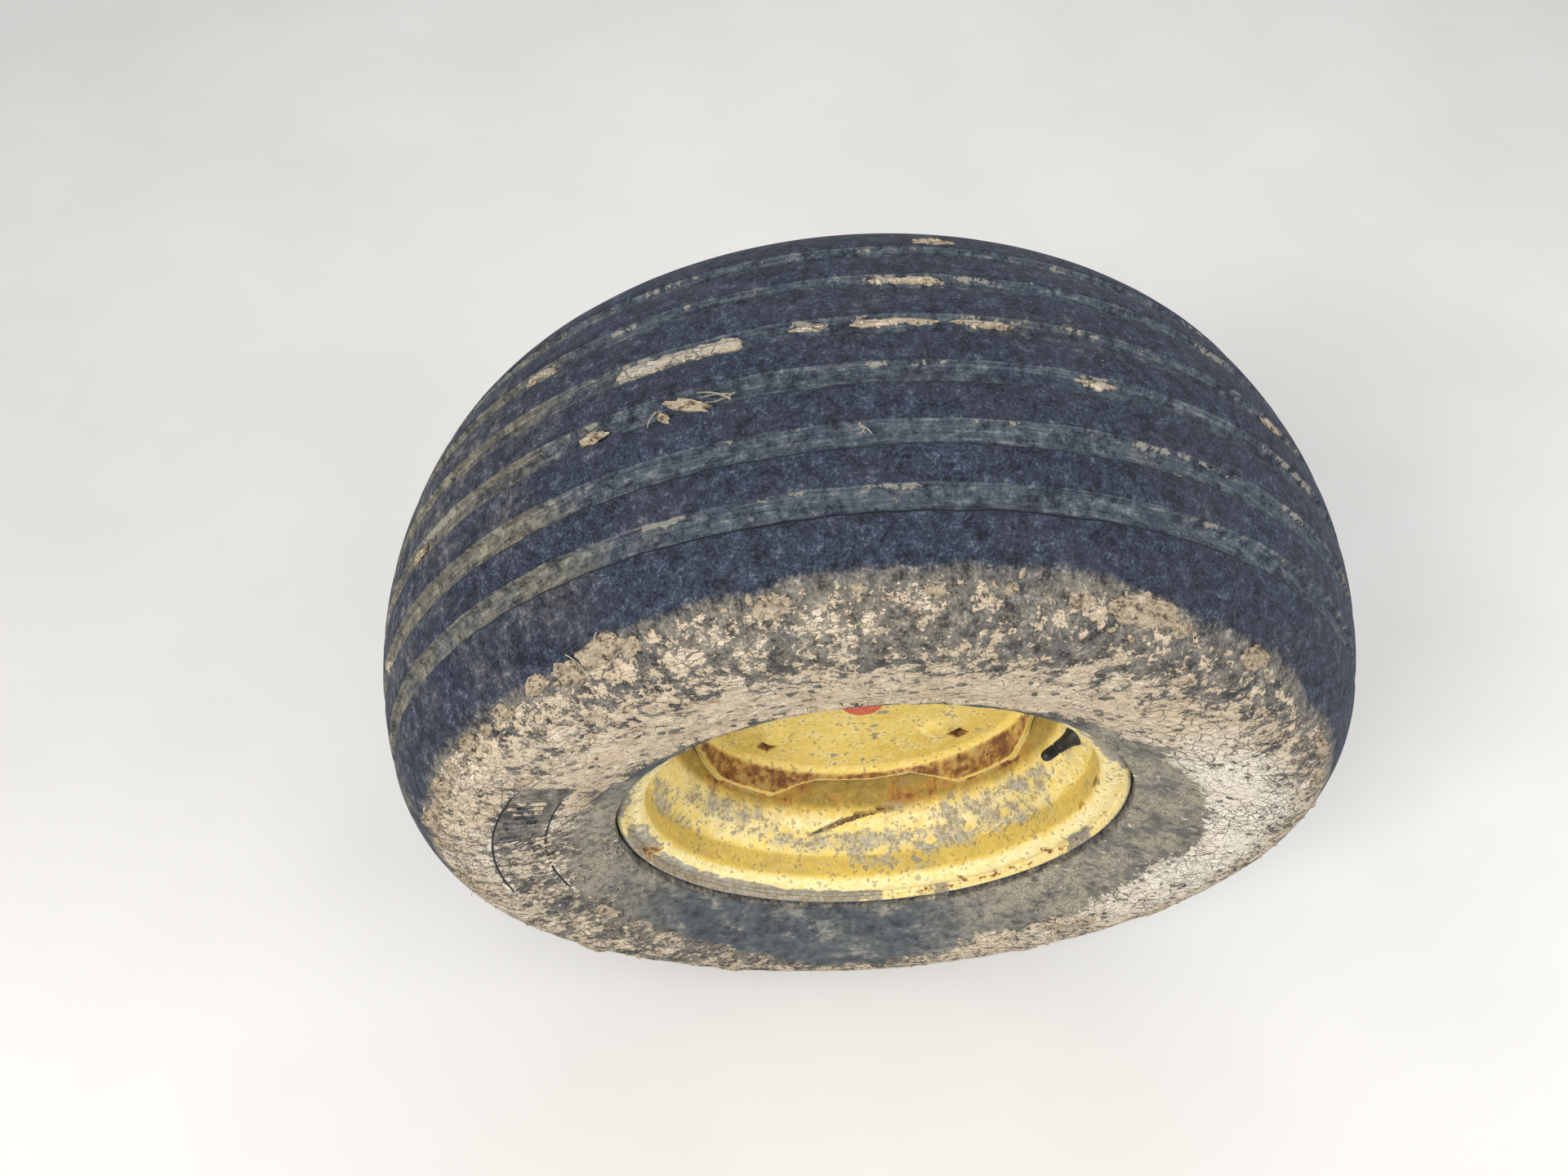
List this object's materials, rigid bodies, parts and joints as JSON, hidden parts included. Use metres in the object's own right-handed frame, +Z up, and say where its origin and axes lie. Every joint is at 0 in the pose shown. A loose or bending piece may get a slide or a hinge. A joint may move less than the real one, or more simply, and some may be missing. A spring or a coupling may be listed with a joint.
{
  "type": "implement wheel station",
  "caption": "Baler wheel station: wide ribbed tyre on a yellow pressed steel wheel, with hub, dust cap, valve and the stub axle and plate that bolt it to a frame.",
  "frame": {"origin": "centre of the axle plate's back face, where it bolts to the machine's frame", "axes": "+Z up, the axle's line along Y, the plate's back faces +Y and the wheel's outboard side faces -Y"},
  "size_m": [0.795, 0.3815, 0.7948],
  "materials": {
    "tyre": "worn matt rubber with dried mud",
    "wheel_paint": "faded yellow paint with rust and chips",
    "red_paint": "faded red paint with rust",
    "bare_steel": "turned steel with grease",
    "black_rubber": "dusty matt rubber",
    "black_plastic": "scuffed matt plastic"
  },
  "bodies": {
    "axle": {"spindle": "bare_steel", "axle_beam": "red_paint", "axle_plate": "red_paint", "gusset_top": "red_paint", "gusset_bottom": "red_paint", "gusset_front": "red_paint", "gusset_rear": "red_paint"},
    "wheel": {"tyre": "tyre", "rim_barrel": "wheel_paint", "wheel_disc": "wheel_paint", "hub_barrel": "wheel_paint", "dust_cap": "red_paint", "grease_seal": "black_rubber", "valve_stem": "black_rubber", "valve_cap": "black_plastic"}
  },
  "joints": [
    {"name": "wheel_spin", "type": "hinge", "parent": "axle", "child": "wheel", "pos_m": [0, -0.21, 0], "axis": [0, 1, 0], "continuous": true}
  ]
}
